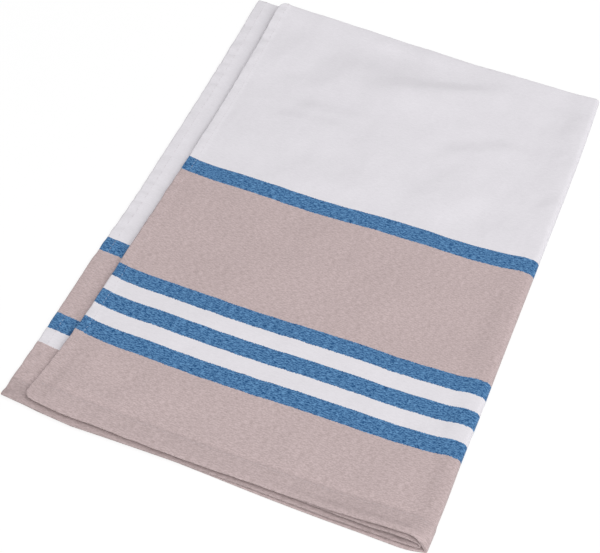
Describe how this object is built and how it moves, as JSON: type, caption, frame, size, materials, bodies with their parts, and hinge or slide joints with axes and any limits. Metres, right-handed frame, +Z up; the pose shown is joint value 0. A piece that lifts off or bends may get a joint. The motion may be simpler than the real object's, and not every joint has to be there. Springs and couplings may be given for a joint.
{
  "type": "tea towel",
  "caption": "Woven cotton tea towel, hemmed all round, folded in quarters and lying flat, with broad and narrow stripes across its ends.",
  "frame": {"origin": "on the surface the towel lies on, under the middle of the folded pile's outline", "axes": "+X across the pile towards the lengthwise fold, +Y away from the hemmed ends towards the crosswise fold, +Z up"},
  "size_m": [0.2604, 0.3574, 0.0099],
  "materials": {
    "cotton": "matt woven cotton"
  },
  "bodies": {
    "root": {"towel": "cotton"}
  },
  "joints": []
}
